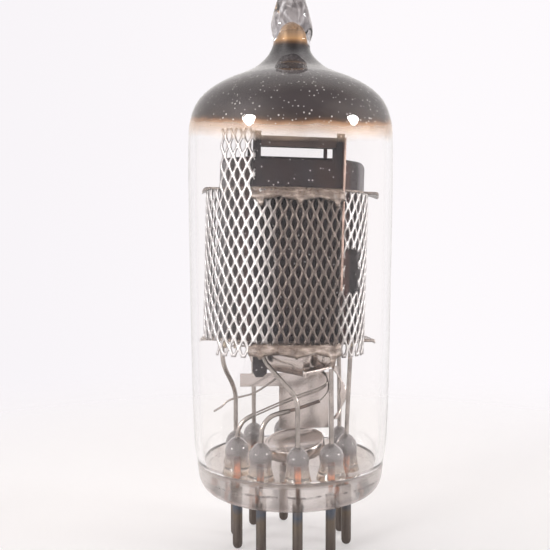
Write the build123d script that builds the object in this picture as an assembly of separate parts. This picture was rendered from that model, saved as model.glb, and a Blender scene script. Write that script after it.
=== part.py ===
"""Nine-pin miniature glass receiving tube with a screened electrode cage.

Frame: the origin is the centre of the glass button's underside, on the tube's axis. +Z runs up
to the exhaust tip, -Y points at pin 6 and at the broad front of the cage, +X is to the right
of someone who faces that front. Millimetres.
"""
from build123d import *
import os
from math import cos, radians, sin

# ---------------------------------------------------------------- driving dimensions
# contacts, on the standard nine-pin miniature circle with one 72 degree gap
PIN_COUNT = 9
PIN_CIRCLE_R = 5.945
PIN_STEP_DEG = 36.0
PIN_R = 0.508
PIN_DROP = 5.4            # how far the pins stand below the glass
PIN_WALL_TOP = -0.12      # the full-size wall stops just under the glass
PIN_SEALED_R = 0.34       # the pin is thinner from there up, where it is sealed in
PIN_SEALED = 0.9          # how far the stiff pin runs up into the glass
PIN_TIP = 0.45            # height of the rounded tip
PIN_DISH = (0.65, 0.12)   # radius and depth of the dish in the glass round each pin
SEAL_R = 0.30             # copper-clad wire through the glass
SEAL_TOP = 4.3
LEAD_R = 0.24

# glass
BULB_R = 10.52
BULB_SEAM_Z = 3.4         # where the bulb is melted to the button
BULB_SEAM_R = 9.72
BULB_WALL = 0.75
TIP_Z = 53.0
TIP_END_R = 0.55
BUTTON_FLAT_R = 7.3
BUTTON_FLOOR_Z = 2.5
BEAD_BASE_R = 1.45
BEAD_R = 1.12
BEAD_TOP_Z = 6.1
FILM_LOW_Z = 38.2         # lower edge of the getter mirror
FILM_T = 0.04

# electrode cage, drawn upright and then leaned as one
MICA_T = 0.30
LOW_MICA_Z = 15.85        # undersides of the two mica plates
TOP_MICA_Z = 31.05
CAGE_LEAN_DEG = 1.3
CAGE_MID_Z = 23.6
ROD_LOW_Z = 14.9          # rod ends below the bottom mica and above the top one
ROD_TOP_Z = 32.9
MICA_BODY = (7.7, 5.0)    # half axes of the oval middle
MICA_EAR = (9.35, 1.6)    # half length and half depth of the ears that reach the bulb
MICA_TOOTH_X = (-3.7, 0.0, 3.7)
MICA_TOOTH = (0.9, 5.65)  # tooth width and how far it stands from the middle

MESH_CENTRE_X = -0.45
MESH_AXES = (8.45, 6.0)
MESH_T = 0.20
MESH_TAB_X = (-7.6, -4.2)
MESH_TAB_Z = (14.6, 36.9)
MESH_FOOT_X = (4.25, 7.3)
MESH_WINDOW_X = (4.9, 6.3)
MESH_WINDOW_Z = (21.2, 25.2)

SHEET_T = 0.20
ANODE_FLAT = 4.3          # half width of the flat front and back
ANODE_FRONT_Y = 4.4
ANODE_SIDE = (7.5, 1.3)   # half width and half depth of the narrow sides
ANODE_END_BEND = 2.0      # bend radius at the narrow sides
ANODE_FRONT_BEND = 0.5

# rod half spacing, rod radius, half depth of the winding, pitch of its turns
GRIDS = {
    "control_grid": (2.0, 0.30, 1.0, 0.8),
    "screen_grid": (3.7, 0.32, 2.0, 1.0),
    "suppressor_grid": (5.4, 0.35, 3.0, 1.25),
}
GRID_WIRE = 0.12
GRID_SPAN_Z = (17.4, 29.8)
ANODE_ROD_X = 6.6
ANODE_ROD_R = 0.30
CATHODE_R = 0.60
CATHODE_BORE_R = 0.45
HEATER_R = 0.10
HEATER_LEG_X = 0.22

# dark plates above the top mica
SHIELD_TOP_Z = 34.4
PANEL_TOP_Z = 34.05
PANEL_X = 4.45
PANEL_Y = 4.60            # back face of the panel, from the axis
PANEL_T = 0.22
ARM_TOP_Z = 36.7
ARM_W = 0.75
ARM_ROOT_W = 1.15
REAR_ARM_W = 0.40
GETTER_Z = (35.3, 36.3)
GETTER_X = 4.15
GETTER_DEPTH = 1.1

# shields under the bottom mica
LOW_SHIELD_Z = 12.3
CUP_R = 3.15
CUP_X = 0.5
CUP_Z = (4.2, 5.4)
CUP_TILT = (9.0, -8.0)    # degrees about X and Y: its front and left sit lower
PLATE_X = (-1.0, 4.4)
PLATE_Y = 1.5
PLATE_LOW_Z = 6.1
BAND_Z = (10.7, 12.1)
BAND_X = (-5.2, 4.4)
WHISKER_R = 0.10

SEAM_ROD_XY = (4.45, -5.03)
SEAM_ROD_Z = (21.3, 36.3)
SEAM_ROD_R = 0.12

LOW_FACE_Z = LOW_MICA_Z                 # underside of the bottom mica
CAGE_LOW_Z = LOW_MICA_Z + MICA_T        # between the micas
CAGE_TOP_Z = TOP_MICA_Z
DECK_Z = TOP_MICA_Z + MICA_T            # upper face of the top mica


# ---------------------------------------------------------------- small helpers
def pin_place(number):
    """X and Y of a contact; pin 1 stands at the back and the numbers run clockwise from above."""
    turn = radians(180.0 + PIN_STEP_DEG * (number - 1))
    return PIN_CIRCLE_R * sin(turn), -PIN_CIRCLE_R * cos(turn)


def half(r, z):
    """A point of a profile that is turned round the tube's axis."""
    return (r, 0.0, z)


def turned(edges):
    """The solid that a closed profile sweeps out round Z."""
    return revolve(make_face(edges), Axis.Z, 360)


def rod(x, y, low, high, radius):
    """An upright round rod."""
    return Pos(x, y, low) * extrude(Circle(radius), high - low)


def block(x_span, y_span, z_span):
    """A box between stated limits."""
    size = [high - low for low, high in (x_span, y_span, z_span)]
    place = [(high + low) / 2 for low, high in (x_span, y_span, z_span)]
    return Pos(*place) * Box(*size)


def wire(points, radius, bends):
    """A round wire along a bent route; bends holds one radius for each corner."""
    path = FilletPolyline(*points, radius=bends)
    start = Plane(origin=path @ 0, z_dir=path % 0)
    return sweep(start * Circle(radius), path=path)


def ribbon(points, width, low, thickness):
    """A flat strip of sheet that lies level along a bent route."""
    path = Polyline(*points)
    return Pos(0, 0, low) * extrude(trace(path, width), thickness)


def leaned(shape):
    """The shape after the cage's slight lean towards +X."""
    return Pos(0, 0, CAGE_MID_Z) * Rot(0, CAGE_LEAN_DEG, 0) * Pos(0, 0, -CAGE_MID_Z) * shape


def leaned_point(x, y, z):
    """Where a point of the upright cage is after the lean."""
    turn = radians(CAGE_LEAN_DEG)
    up = z - CAGE_MID_Z
    return (x * cos(turn) + up * sin(turn), y, CAGE_MID_Z + up * cos(turn) - x * sin(turn))


# ---------------------------------------------------------------- glass
def bulb_outer():
    """Outer curve of the bulb from its seam up over the dome, the neck and the drawn-off tip."""
    wall = Spline(half(BULB_SEAM_R, BULB_SEAM_Z), half(10.0, 5.2), half(10.38, 20.0), half(BULB_R, 30.0))
    side = Line(half(BULB_R, 30.0), half(BULB_R, 36.4))
    dome = Spline(
        half(BULB_R, 36.4),
        half(9.75, 40.1),
        half(7.0, 42.3),
        half(3.9, 43.75),
        half(2.1, 45.6),
        half(1.85, 46.6),
        half(2.1, 48.2),
        half(1.35, 50.9),
        half(TIP_END_R, TIP_Z - TIP_END_R),
        tangents=[(0, 0, 1), (-0.3, 0, 1)],
    )
    corner = TIP_END_R * (1 - cos(radians(45)))
    end = ThreePointArc(
        half(TIP_END_R, TIP_Z - TIP_END_R), half(TIP_END_R - corner, TIP_Z - corner), half(0, TIP_Z)
    )
    return [wall, side, dome, end]


def bulb_inner(gap=0.0):
    """Inner curve of the bulb, or the same curve a little further in."""
    low = BULB_SEAM_R - BULB_WALL - gap
    side_r = BULB_R - BULB_WALL - gap
    wall = Spline(half(low, BULB_SEAM_Z), half(9.25 - gap, 5.2), half(9.63 - gap, 20.0), half(side_r, 30.0))
    side = Line(half(side_r, 30.0), half(side_r, 36.4))
    dome = Spline(
        half(side_r, 36.4),
        half(9.05 - gap, 39.6 - gap),
        half(6.5, 41.4 - gap),
        half(3.4, 42.85 - gap),
        half(1.4 - gap, 44.6 - gap),
        half(1.0 - gap, 46.4 - gap),
        half(0.0, 47.9 - gap),
        tangents=[(0, 0, 1), (-1, 0, 0)],
    )
    return [wall, side, dome]


def inner_region(gap=0.0):
    """The half section of the space inside the bulb."""
    low = BULB_SEAM_R - BULB_WALL - gap
    foot = Line(half(0, BULB_SEAM_Z), half(low, BULB_SEAM_Z))
    axis = Line(half(0.0, 47.9 - gap), half(0, BULB_SEAM_Z))
    return make_face([foot, *bulb_inner(gap), axis])


def glass_bulb():
    """The blown bulb, open at its seam and solid in its exhaust tip."""
    rim = Line(half(BULB_SEAM_R - BULB_WALL, BULB_SEAM_Z), half(BULB_SEAM_R, BULB_SEAM_Z))
    axis = Line(half(0, TIP_Z), half(0, 47.9))
    return turned([rim, *bulb_outer(), axis, *bulb_inner()])


def getter_film():
    """The mirror left on the inside of the dome when the getter was flashed."""
    above = Plane.XZ * Pos(0, FILM_LOW_Z + 10) * Rectangle(2 * BULB_R, 20)
    skin = (inner_region() - inner_region(FILM_T)) & above
    return revolve(skin, Axis.Z, 360)


def bead(number):
    """The glass bead and its skirt round one lead, on the button's floor."""
    x, y = pin_place(number)
    edges = [
        Line(half(0, BUTTON_FLOOR_Z - 0.5), half(BEAD_BASE_R, BUTTON_FLOOR_Z - 0.5)),
        Line(half(BEAD_BASE_R, BUTTON_FLOOR_Z - 0.5), half(BEAD_BASE_R, BUTTON_FLOOR_Z)),
        Spline(
            half(BEAD_BASE_R, BUTTON_FLOOR_Z),
            half(1.16, 3.8),
            half(BEAD_R, 4.5),
            half(0.72, 5.5),
            half(LEAD_R + 0.06, BEAD_TOP_Z),
        ),
        Line(half(LEAD_R + 0.06, BEAD_TOP_Z), half(0, BEAD_TOP_Z)),
        Line(half(0, BEAD_TOP_Z), half(0, BUTTON_FLOOR_Z - 0.5)),
    ]
    return Pos(x, y, 0) * turned(edges)


def contact_cavity(number):
    """The space that one pin, its seal wire and its lead fill, and the dish round the pin."""
    x, y = pin_place(number)
    dish = rod(x, y, PIN_WALL_TOP, PIN_DISH[1], PIN_DISH[0])
    pin = rod(x, y, PIN_WALL_TOP, PIN_SEALED, PIN_SEALED_R)
    seal = rod(x, y, PIN_SEALED, SEAL_TOP, SEAL_R)
    lead = rod(x, y, SEAL_TOP, BEAD_TOP_Z + 1.0, LEAD_R)
    return dish + pin + seal + lead


def button_stem():
    """The pressed glass button: flat below, rounded at its rim, with nine beads."""
    low = BULB_SEAM_R - BULB_WALL
    edges = [
        Line(half(0, 0), half(BUTTON_FLAT_R, 0)),
        ThreePointArc(half(BUTTON_FLAT_R, 0), half(8.92, 0.68), half(9.6, 2.3)),
        Line(half(9.6, 2.3), half(BULB_SEAM_R, BULB_SEAM_Z)),
        Line(half(BULB_SEAM_R, BULB_SEAM_Z), half(low, BULB_SEAM_Z)),
        ThreePointArc(half(low, BULB_SEAM_Z), half(8.7, 2.78), half(8.0, BUTTON_FLOOR_Z)),
        Line(half(8.0, BUTTON_FLOOR_Z), half(0, BUTTON_FLOOR_Z)),
        Line(half(0, BUTTON_FLOOR_Z), half(0, 0)),
    ]
    numbers = range(1, PIN_COUNT + 1)
    glass = turned(edges) + [bead(number) for number in numbers]
    return glass - [contact_cavity(number) for number in numbers]


# ---------------------------------------------------------------- contacts and leads
def pin(number):
    """A stiff outer pin with a rounded tip and a thinner end in the glass."""
    x, y = pin_place(number)
    shank = rod(x, y, -PIN_DROP, PIN_WALL_TOP, PIN_R)
    shank = fillet(shank.faces().sort_by(Axis.Z)[0].edges(), PIN_TIP)
    return shank + rod(x, y, PIN_WALL_TOP, PIN_SEALED, PIN_SEALED_R)


def seal_wires():
    """The nine copper-clad wires that join the pins to the leads inside the glass."""
    places = [pin_place(number) for number in range(1, PIN_COUNT + 1)]
    return Compound(children=[rod(x, y, PIN_SEALED, SEAL_TOP, SEAL_R) for x, y in places])


# Each lead rises from its seal wire to the first point of its own route. The routes hold the
# points where the wire bends, and the radius of each bend.
LEAD_ROUTES = {
    1: ([(0.0, 5.945, 9.0), (0.9, 4.3, 12.6), (0.9, 4.3, 15.3)], [1.6, 1.4]),
    2: ([(-3.494, 4.81, 13.0), (-3.75, 4.81, 15.3)], [3.0]),
    3: ([(-5.654, 1.837, 9.6), (-7.0, -0.35, 13.2), (-7.1, -0.6, 15.3)], [1.8, 1.6]),
    4: ([(-5.654, -1.837, 6.5), (-5.0, -1.9, 7.8), (-3.9, -2.0, 8.45)], [0.8, 1.0]),
    5: ([(-3.494, -4.81, 7.2), (-2.7, -4.65, 8.75), (-0.56, -4.4, 9.25)], [1.2, 1.2]),
    6: ([(0.0, -5.945, 10.6), (-3.1, -4.62, 14.2), (-3.75, -4.62, 15.2)], [3.0, 0.8]),
    7: ([(3.494, -4.81, 10.0), (3.45, -4.81, 13.4)], [3.0]),
    8: ([(5.654, -1.837, 7.0), (6.05, -1.86, 15.3)], [5.0]),
    9: ([(5.654, 1.837, 10.0), (5.5, 1.83, 15.6)], [5.0]),
}


def lead(number):
    """One nickel lead wire, from its seal up to where it is welded."""
    x, y = pin_place(number)
    points, bends = LEAD_ROUTES[number]
    return wire([(x, y, SEAL_TOP), (x, y, points[0][2]), *points[1:]], LEAD_R, bends)


# ---------------------------------------------------------------- cage between the micas
def mica_outline():
    """An oval with an ear at each end, and three teeth along each broad side."""
    tooth_w, reach = MICA_TOOTH
    shape = Ellipse(*MICA_BODY) + Rectangle(2 * MICA_EAR[0], 2 * MICA_EAR[1])
    for x in MICA_TOOTH_X:
        shape += Pos(x, 0) * Rectangle(tooth_w, 2 * reach)
    return shape


def rod_places():
    """X, radius of every upright rod that passes through the micas on the cage's long line."""
    places = [(side * x, r) for x, r, _, _ in GRIDS.values() for side in (-1, 1)]
    return places + [(-ANODE_ROD_X, ANODE_ROD_R), (ANODE_ROD_X, ANODE_ROD_R), (0.0, CATHODE_R)]


def mica(low):
    """A mica plate with a close hole for each rod."""
    shape = mica_outline()
    for x, radius in rod_places():
        shape -= Pos(x, 0) * Circle(radius)
    return Pos(0, 0, low) * extrude(shape, MICA_T)


def mesh_band(z_span, x_span=None):
    """Part of the oval screen: the whole band, or its front between two X limits."""
    low, high = z_span
    ring = Ellipse(*MESH_AXES) - Ellipse(MESH_AXES[0] - MESH_T, MESH_AXES[1] - MESH_T)
    band = Pos(MESH_CENTRE_X, 0, low) * extrude(ring, high - low)
    if x_span:
        band &= block(x_span, (-MESH_AXES[1] - 1, 0), z_span)
    return band


def mesh_screen():
    """The expanded-metal screen as a plain sleeve with its tab, its foot and its window."""
    screen = mesh_band((CAGE_LOW_Z, CAGE_TOP_Z))
    screen += mesh_band(MESH_TAB_Z, MESH_TAB_X)
    screen += mesh_band((MESH_TAB_Z[0], CAGE_LOW_Z + 1), MESH_FOOT_X)
    return screen - block(MESH_WINDOW_X, (-MESH_AXES[1], 0), MESH_WINDOW_Z)


def boat(inset=0.0):
    """The eight-sided outline shared by the anode and the cap above it."""
    flat, front = ANODE_FLAT - inset * 0.4, ANODE_FRONT_Y - inset
    side_x, side_y = ANODE_SIDE[0] - inset, ANODE_SIDE[1] - inset * 0.4
    quarter = [(flat, front), (side_x, side_y), (side_x, -side_y), (flat, -front)]
    ring = quarter + [(-x, y) for x, y in reversed(quarter)]
    outline = make_face(Polyline(*ring, close=True))
    ends = [corner for corner in outline.vertices() if abs(corner.X) > flat + 1]
    outline = fillet(ends, ANODE_END_BEND)
    fronts = [corner for corner in outline.vertices() if abs(corner.X) < flat + 0.01]
    return fillet(fronts, ANODE_FRONT_BEND)


def anode():
    """The dark plate shell between the micas."""
    shell = boat() - boat(SHEET_T)
    return Pos(0, 0, CAGE_LOW_Z) * extrude(shell, CAGE_TOP_Z - CAGE_LOW_Z)


def anode_rod(side):
    """One of the two rods that carry the anode."""
    return rod(side * ANODE_ROD_X, 0, ROD_LOW_Z, ROD_TOP_Z, ANODE_ROD_R)


def grid(rod_x, rod_r, depth, pitch):
    """Two side rods with turns of fine wire round them."""
    rods = [rod(side * rod_x, 0, ROD_LOW_Z, ROD_TOP_Z, rod_r) for side in (-1, 1)]
    low, high = GRID_SPAN_Z
    turn = Ellipse(rod_x + GRID_WIRE, depth) - Ellipse(rod_x, depth - GRID_WIRE)
    count = int((high - low) / pitch) + 1
    turns = [Pos(0, 0, low + pitch * step) * extrude(turn, GRID_WIRE) for step in range(count)]
    return rods[0] + [rods[1], *turns]


def cathode_sleeve():
    """The oxide-coated tube that the heater warms."""
    wall = Circle(CATHODE_R) - Circle(CATHODE_BORE_R)
    return Pos(0, 0, ROD_LOW_Z) * extrude(wall, ROD_TOP_Z - ROD_LOW_Z)


def heater():
    """The heater hairpin, with its two tails down to leads 5 and 4."""
    top = ROD_TOP_Z - 0.6
    right, left = HEATER_LEG_X, -HEATER_LEG_X
    route = [
        (-0.56, -4.4, 9.25),
        (2.5, -3.9, 10.2),
        (3.3, -2.6, 11.6),
        leaned_point(right, 0, 13.9),
        leaned_point(right, 0, top),
        leaned_point(left, 0, top),
        leaned_point(left, 0, 13.2),
        (3.0, -1.7, 11.3),
        (-3.9, -2.0, 8.45),
    ]
    return wire(route, HEATER_R, [0.5, 0.8, 0.5, 0.2, 0.2, 0.4, 0.4])


# ---------------------------------------------------------------- above the top mica
def top_shield():
    """The dark cap over the rod ends, with rounded top edges."""
    height = SHIELD_TOP_Z - DECK_Z
    outer = extrude(boat(), height)
    outer = fillet(outer.faces().sort_by(Axis.Z)[-1].edges(), 0.8)
    hollow = extrude(boat(SHEET_T), height - SHEET_T - 0.3)
    return Pos(0, 0, DECK_Z) * (outer - hollow)


def arm_panel(y_span, arm_width):
    """A dark flat plate with an upright arm at each end."""
    panel = block((-PANEL_X, PANEL_X), y_span, (DECK_Z, PANEL_TOP_Z))
    left = block((-PANEL_X, -PANEL_X + arm_width), y_span, (PANEL_TOP_Z, ARM_TOP_Z))
    right = block((PANEL_X - arm_width, PANEL_X), y_span, (PANEL_TOP_Z, ARM_TOP_Z))
    return panel + left + right


def front_panel():
    """The front plate, whose right arm has a broader root below the getter."""
    y_span = (-PANEL_Y - PANEL_T, -PANEL_Y)
    root = block((PANEL_X - ARM_ROOT_W, PANEL_X), y_span, (PANEL_TOP_Z, GETTER_Z[0]))
    return arm_panel(y_span, ARM_W) + root


def rear_panel():
    """The rear plate, with slimmer arms."""
    return arm_panel((PANEL_Y, PANEL_Y + PANEL_T), REAR_ARM_W)


def getter_channel():
    """The getter's trough between the two front arms, open at the top."""
    low, high = GETTER_Z
    y_span = (-PANEL_Y, -PANEL_Y + GETTER_DEPTH)
    outer = block((-GETTER_X, GETTER_X), y_span, (low, high))
    inner_y = (y_span[0] + SHEET_T, y_span[1] - SHEET_T)
    return outer - block((-GETTER_X - 1, GETTER_X + 1), inner_y, (low + SHEET_T, high + 1))


def getter_fill():
    """What is left of the getter metal in the front trough."""
    low = GETTER_Z[0] + SHEET_T
    y_span = (-PANEL_Y + SHEET_T, -PANEL_Y + GETTER_DEPTH - SHEET_T)
    return block((-GETTER_X + 0.2, GETTER_X - 0.2), y_span, (low, low + 0.35))


def seam_rod():
    """The slim rod along the screen's seam, up past the front plate."""
    return rod(*SEAM_ROD_XY, *SEAM_ROD_Z, SEAM_ROD_R)


# ---------------------------------------------------------------- below the bottom mica
def low_shield():
    """The bright folded shield under the bottom mica."""
    line = Polyline((-2.5, -1.9), (-2.9, -2.6), (-2.3, -3.1), (2.2, -3.1), (2.2, -2.2), (4.3, -2.2))
    wall = Pos(0, 0, LOW_SHIELD_Z) * extrude(trace(line, SHEET_T), LOW_FACE_Z - LOW_SHIELD_Z)
    flap = Polyline((0.6, LOW_SHIELD_Z), (0.9, LOW_SHIELD_Z - 1.0), (3.6, LOW_SHIELD_Z), close=True)
    fold = extrude(Plane.XZ.offset(2.2 - SHEET_T / 2) * make_face(flap), SHEET_T)
    return wall + fold


def hanging_tab(outline, front):
    """A flat tab of sheet, upright and square to the tube's front, whose back is at -Y front."""
    return extrude(Plane.XZ.offset(front) * make_face(Polyline(*outline, close=True)), SHEET_T)


def anode_tab():
    """The dark tab that hangs from the mica to meet lead 6."""
    outline = [(-4.0, 15.85), (-3.3, 15.85), (-2.6, 14.0), (-2.6, 13.0), (-3.0, 12.6), (-3.7, 12.6)]
    return hanging_tab(outline + [(-4.0, 13.2)], 4.18)


def lead_2_tab():
    """The light tapered strip that joins the cage to lead 2."""
    outline = [(-4.8, 15.85), (-3.7, 15.85), (-3.25, 13.4), (-3.5, 12.6), (-3.8, 13.4), (-4.2, 14.8)]
    return hanging_tab(outline, -4.56)


def stem_plate():
    """The upright screen plate over the cup, with a longer band along its top."""
    band = block(BAND_X, (PLATE_Y, PLATE_Y + SHEET_T), BAND_Z)
    wall = block(PLATE_X, (PLATE_Y, PLATE_Y + SHEET_T), (PLATE_LOW_Z, BAND_Z[0]))
    return band + wall


def stem_cup():
    """The round metal cup, upside down and a little askew over the middle of the button."""
    half_height = (CUP_Z[1] - CUP_Z[0]) / 2
    cup = rod(0, 0, -half_height, half_height, CUP_R)
    cup = fillet(cup.faces().sort_by(Axis.Z)[-1].edges(), 0.18)
    cup -= rod(0, 0, -half_height, half_height - SHEET_T, CUP_R - SHEET_T)
    return Pos(CUP_X, 0, CUP_Z[0] + half_height) * Rot(*CUP_TILT, 0) * cup


def pin_7_strap():
    """The crimped strap beside lead 7."""
    outline = [(3.72, 13.6), (4.3, 13.2), (5.0, 10.8), (4.9, 8.6), (4.4, 8.9), (4.3, 10.6), (3.72, 11.6)]
    return extrude(Plane.XZ.offset(4.7) * make_face(Polyline(*outline, close=True)), SHEET_T)


def cathode_tab():
    """The strip from the cathode to lead 3, just under the mica."""
    return ribbon([(-0.75, -0.35), (-1.3, -1.1), (-6.5, -1.1)], 0.5, 15.2, 0.12)


def grid_strap(start, end, low):
    """A strip from the end of a grid rod to its lead."""
    return ribbon([start, end], 0.5, low, 0.12)


def shield_whisker():
    """The thin loose wire from the stem shield out towards the bulb."""
    route = [(-8.0, -0.2, 8.5), (-6.5, -0.3, 9.7), (-4.0, -0.6, 10.3), (-1.6, -0.8, 11.9)]
    return wire(route, WHISKER_R, [1.2, 1.5])


# ---------------------------------------------------------------- the assembly
def parts():
    """Every sub-part in its place, by name."""
    nodes = {
        "glass_bulb": glass_bulb(),
        "getter_film": getter_film(),
        "button_stem": button_stem(),
        "seal_wires": seal_wires(),
        "bottom_mica": leaned(mica(LOW_MICA_Z)),
        "top_mica": leaned(mica(TOP_MICA_Z)),
        "mesh_screen": leaned(mesh_screen()),
        "seam_rod": leaned(seam_rod()),
        "anode": leaned(anode()),
        "anode_rod_left": leaned(anode_rod(-1)),
        "anode_rod_right": leaned(anode_rod(1)),
        "cathode_sleeve": leaned(cathode_sleeve()),
        "heater": heater(),
        "top_shield": leaned(top_shield()),
        "front_panel": leaned(front_panel()),
        "rear_panel": leaned(rear_panel()),
        "getter_channel": leaned(getter_channel()),
        "getter_fill": leaned(getter_fill()),
        "low_shield": leaned(low_shield()),
        "anode_tab": leaned(anode_tab()),
        "lead_2_tab": leaned(lead_2_tab()),
        "stem_plate": stem_plate(),
        "stem_cup": stem_cup(),
        "pin_7_strap": pin_7_strap(),
        "cathode_tab": leaned(cathode_tab()),
        "control_grid_strap": leaned(grid_strap((2.3, 0.3), (5.0, 1.6), 15.5)),
        "screen_grid_strap": leaned(grid_strap((3.6, 0.45), (1.5, 4.1), 15.2)),
        "shield_whisker": shield_whisker(),
    }
    for name, sizes in GRIDS.items():
        nodes[name] = leaned(grid(*sizes))
    for number in range(1, PIN_COUNT + 1):
        nodes[f"pin_{number}"] = pin(number)
        nodes[f"lead_{number}"] = lead(number)
    return nodes


os.makedirs("parts", exist_ok=True)
for node, shape in parts().items():
    export_step(shape, f"parts/{node}.step")
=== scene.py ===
"""Looks of the nine-pin glass receiving tube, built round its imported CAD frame.

Lengths are millimetres in the part's own frame unless a comment says metres, and become metres as
they are handed to Blender. A piece made with cage=True is drawn upright and then leans with the cage.
"""
import math

import bmesh
import bpy
from mathutils import Matrix, Vector


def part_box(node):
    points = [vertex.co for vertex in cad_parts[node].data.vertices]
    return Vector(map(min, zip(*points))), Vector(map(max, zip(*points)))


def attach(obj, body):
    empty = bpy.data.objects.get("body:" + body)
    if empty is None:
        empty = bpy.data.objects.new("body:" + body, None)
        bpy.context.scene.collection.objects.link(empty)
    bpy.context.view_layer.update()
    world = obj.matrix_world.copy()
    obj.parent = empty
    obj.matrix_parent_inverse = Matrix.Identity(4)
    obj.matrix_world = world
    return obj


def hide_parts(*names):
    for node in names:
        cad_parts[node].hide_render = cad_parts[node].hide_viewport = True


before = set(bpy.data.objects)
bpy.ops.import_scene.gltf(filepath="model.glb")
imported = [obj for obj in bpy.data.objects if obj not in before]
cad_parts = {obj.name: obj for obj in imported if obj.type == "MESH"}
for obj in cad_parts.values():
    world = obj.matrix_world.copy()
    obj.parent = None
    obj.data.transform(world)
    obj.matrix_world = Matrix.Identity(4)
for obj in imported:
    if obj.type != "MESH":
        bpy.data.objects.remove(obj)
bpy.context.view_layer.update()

MM = 0.001
ROOT = "root"

# ---------------------------------------------------------------- shared dimensions, millimetres
BULB_OUTER = [(9.72, 3.4), (10.0, 5.2), (10.2, 10.5), (10.38, 20.0), (10.52, 30.0), (10.52, 36.4),
              (10.33, 38.4), (9.72, 40.05), (8.6, 41.3), (7.0, 42.3), (5.3, 43.05), (3.9, 43.75),
              (2.75, 44.7), (2.1, 45.6), (1.85, 46.6)]
BULB_INNER = [(8.97, 3.4), (9.25, 5.2), (9.47, 10.5), (9.63, 20.0), (9.77, 30.0), (9.77, 36.4),
              (9.6, 38.2), (9.05, 39.6), (8.0, 40.65), (6.5, 41.45), (4.9, 42.1), (3.4, 42.85),
              (2.2, 43.7), (1.5, 44.6), (1.15, 46.2), (1.02, 47.3), (0.72, 48.15), (0.0, 48.6)]
TIP_PROFILE = [(1.85, 46.6), (2.02, 47.4), (2.12, 48.3), (1.95, 49.4), (1.42, 50.9), (0.95, 52.0),
               (0.5, 52.7), (0.0, 52.95)]
BUTTON_LOW = [(0.0, 0.0), (7.3, 0.0), (8.15, 0.2), (8.92, 0.68), (9.4, 1.4), (9.6, 2.3), (9.72, 3.4)]
BUTTON_TOP = [(8.97, 3.4), (8.7, 2.78), (8.0, 2.5), (0.0, 2.5)]
BEAD = [(1.45, 2.5), (1.32, 2.95), (1.2, 3.4), (1.11, 3.9), (1.11, 4.3), (1.15, 4.7), (1.1, 5.1),
        (0.92, 5.5), (0.6, 5.85), (0.28, 6.05)]
BEAD_FOOT_Z = 2.53           # just clear of the button's top
BUTTON_TOP_Z = BUTTON_TOP[-1][1]
TIP_START_Z = 45.6           # where the drawn-off tip starts to lose its round shape
TIP_OFFSET_X = 0.16
TIP_PAINTED_SHADE_Z = 46.4           # where the tip's painted shade starts: grey streaks standing in for the dark film seen through the solid tip

FILM_EDGE_Z = 36.8
FILM_FADE = 3.2              # height over which the film thickens from clear to solid
FILM_TILT = 0.17             # how much lower the film hangs, for each millimetre towards the front
FILM_SKIRT = 2.2             # how far its sheet goes on below its edge, quite clear
FILM_SKINS = [(0.05, 0.04), (0.02, 0.01)]   # outer and inner face: steps out and up into the glass
NECK_DARK_Z = 42.6           # the film darkens to black from here up
NECK_CLEAR_Z = 45.6          # and from here up it turns amber and thins

MESH_COLUMNS = 44            # openings in one row round the screen
MESH_PITCH_Z = 1.88          # height from an opening to the one right above it
STRAND_THICK = 0.13
OPENING = (0.28, 0.67)       # half width and half height of one lens-shaped opening
OPENING_SWELL = 0.20         # how much the opening's four sides bow out
STRAND_TWIST = 0.035         # how far an opening's top edge stands out and its bottom edge sinks in
TWIST_STEEPNESS = 2.2
SCREEN_TAB_X = (-7.45, -4.25)    # the tall tab over the band, which also goes on below it
SCREEN_FOOT_X = (3.3, 7.7)       # the foot below the band
OPENED_X, OPENED_Z = (4.75, 6.45), (21.0, 25.4)    # the window cut in the screen's front
OPENED_CORNER = (0.5, 0.6, 0.75)    # where its corner starts along X and Z, and how much is left uncut

PIN_LENGTH = 5.4
PIN_R = 0.508
PIN_TOP_Z = 0.88             # the end sunk in the glass
PIN_TIP = [(0.17, 0.02), (0.32, 0.09), (0.44, 0.24), (0.5, 0.46), (PIN_R, 0.8)]   # radius, rise
SEAL_R, SEAL_Z = 0.22, (0.9, 4.28)
LEAD_R = 0.24
HEATER_R = 0.11
TAIL_R, TAIL_GAP = 0.08, 0.13    # the heater's tails, and half the gap between the two of a pair
SLEEVED_TAIL_R = 0.17
WHISKER_R = 0.1

CUP_R = 3.15
CUP_HALF_HEIGHT = 0.6
CUP_TILT = (9.0, -8.0)       # degrees about X and Y
SHIELD_THICK = 0.12
FLAP_THICK = 0.1
STRAP_THICK = 0.1
STRAP_TOP = (3.78, -4.62, 13.7)
STRAP_DROP, STRAP_BOW = 5.3, 1.15    # how far it runs down, and how far it bows to the right
STRAP_HALF_WIDTH = 0.42

MERGE = 0.0005               # points closer than this are joined
MERGE_LATTICE = 0.002        # the same where the lattice's cells meet
BULB_SEGMENTS, CUP_SEGMENTS, PIN_SEGMENTS, SEAL_SEGMENTS = 144, 96, 40, 28


# ---------------------------------------------------------------- frame helpers
def mm_box(node):
    """Lowest and highest corner of a CAD node, in millimetres."""
    low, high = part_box(node)
    return low / MM, high / MM


def middle(node):
    """Centre of a CAD node's box, in millimetres."""
    low, high = mm_box(node)
    return (low + high) / 2


LOW_MICA, TOP_MICA = middle("bottom_mica"), middle("top_mica")
LEAN = math.atan2(TOP_MICA.x - LOW_MICA.x, TOP_MICA.z - LOW_MICA.z)
LEAN_Z = LOW_MICA.z - LOW_MICA.x / math.tan(LEAN)
CAGE = (
    Matrix.Translation((0, 0, LEAN_Z)) @ Matrix.Rotation(LEAN, 4, "Y") @ Matrix.Translation((0, 0, -LEAN_Z))
)
UPRIGHT = CAGE.inverted()


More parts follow.
